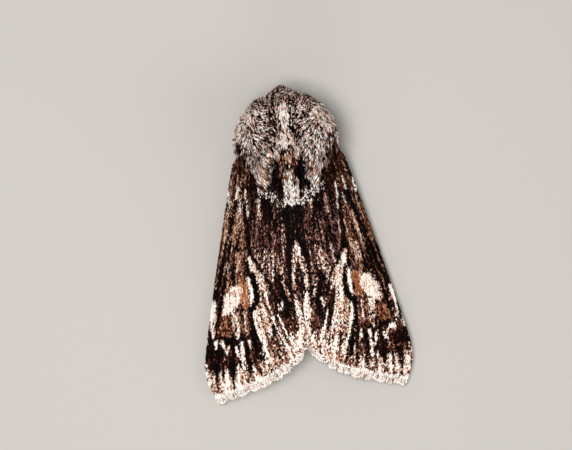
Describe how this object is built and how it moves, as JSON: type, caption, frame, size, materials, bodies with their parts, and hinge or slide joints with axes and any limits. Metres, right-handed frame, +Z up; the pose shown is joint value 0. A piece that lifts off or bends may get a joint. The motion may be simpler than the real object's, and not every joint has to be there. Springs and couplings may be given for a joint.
{
  "type": "rannoch sprawler moth",
  "caption": "Stout furry noctuid moth at rest, wings closed like a roof over the body, streaked black, brown and white, standing on its six feet.",
  "frame": {"origin": "on the floor plane under the middle of the moth's bounding box", "axes": "+Z up from the floor; -Y towards the head, +Y towards the wing tips; +X towards the moth's left side"},
  "size_m": [0.0194, 0.0298, 0.009],
  "materials": {
    "head_fur": "grey-brown hair scales",
    "thorax_fur": "long grey, brown and black hair scales",
    "abdomen_fur": "short grey-brown hair scales",
    "eye": "glossy dark compound eye",
    "feeler": "finely scaled chitin",
    "forewing_scales": "powdery wing scales in black, brown and white streaks",
    "hindwing_scales": "pale thin wing scales",
    "leg_scales": "banded scales over chitin"
  },
  "bodies": {
    "root": {"head": "head_fur", "eye_L": "eye", "eye_R": "eye", "antenna_L": "feeler", "antenna_R": "feeler", "palp_L": "feeler", "palp_R": "feeler", "thorax": "thorax_fur", "abdomen": "abdomen_fur", "forewing_L": "forewing_scales", "forewing_R": "forewing_scales", "hindwing_L": "hindwing_scales", "hindwing_R": "hindwing_scales", "foreleg_L": "leg_scales", "foreleg_R": "leg_scales", "midleg_L": "leg_scales", "midleg_R": "leg_scales", "hindleg_L": "leg_scales", "hindleg_R": "leg_scales"}
  },
  "joints": []
}
